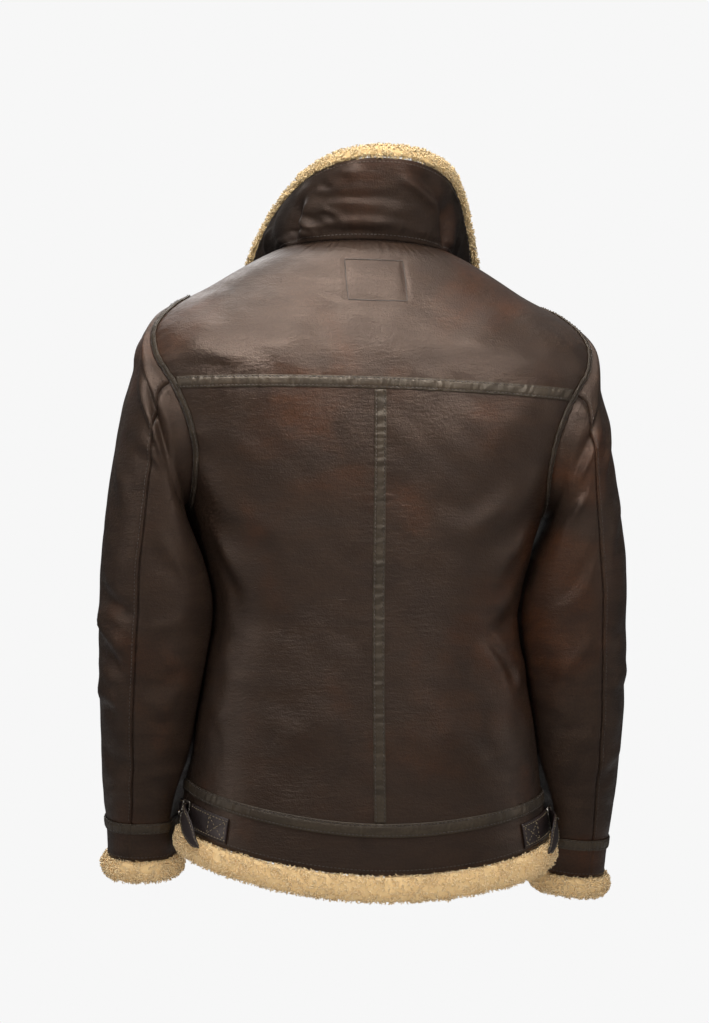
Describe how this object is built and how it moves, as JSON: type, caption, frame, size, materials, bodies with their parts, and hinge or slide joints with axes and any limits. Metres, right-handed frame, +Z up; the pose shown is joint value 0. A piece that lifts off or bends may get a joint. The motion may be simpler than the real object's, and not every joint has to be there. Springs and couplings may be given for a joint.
{
  "type": "aviator jacket",
  "caption": "Hollow worn aviator jacket in brown leather-faced cloth with a fleece collar, hem and cuffs, taped seams, hem side adjusters and a closed front zip",
  "frame": {"origin": "middle of the neck opening at the height of the collar seam behind, where shoulders or a hanger would hold the jacket", "axes": "+Z up along the wearer, -Y is the jacket's front with the zip, +X is the jacket's own left side"},
  "size_m": [0.569, 0.2941, 0.8077],
  "materials": {
    "leather": "dull mottled brown leather face with a soft sheen",
    "tape": "smooth dark leather strips with a semi-gloss, puckered by two rows of stitches",
    "fleece": "cream sheepskin-look fleece with short curls",
    "metal": "dark antique brass",
    "zip_cloth": "matte woven zip tape"
  },
  "bodies": {
    "jacket": {"armhole_tape_left": "tape", "armhole_tape_right": "tape", "back_left": "leather", "back_right": "leather", "buckle_left": "metal", "buckle_right": "metal", "centre_back_tape": "tape", "collar": "leather", "collar_fleece": "fleece", "cuff_band_left": "leather", "cuff_band_right": "leather", "cuff_fleece_left": "fleece", "cuff_fleece_right": "fleece", "cuff_tape_left": "tape", "cuff_tape_right": "tape", "front_left": "leather", "front_right": "leather", "hem_band_back": "leather", "hem_band_left": "leather", "hem_band_right": "leather", "hem_fleece": "fleece", "hem_tape": "tape", "prong_left": "metal", "prong_right": "metal", "sleeve_top_left": "leather", "sleeve_top_right": "leather", "sleeve_under_left": "leather", "sleeve_under_right": "leather", "strap_left": "leather", "strap_right": "leather", "tab_left": "leather", "tab_right": "leather", "yoke": "leather", "yoke_tape": "tape", "zip_chain": "metal", "zip_slider": "metal", "zip_tape_left": "zip_cloth", "zip_tape_right": "zip_cloth"},
    "zip_pull": {"zip_pull": "metal"}
  },
  "joints": [
    {"name": "pull_swing", "type": "hinge", "parent": "jacket", "child": "zip_pull", "pos_m": [0, -0.10936, -0.09952], "axis": [-0.9996, 0, -0.028], "range_deg": [0, 150]}
  ]
}
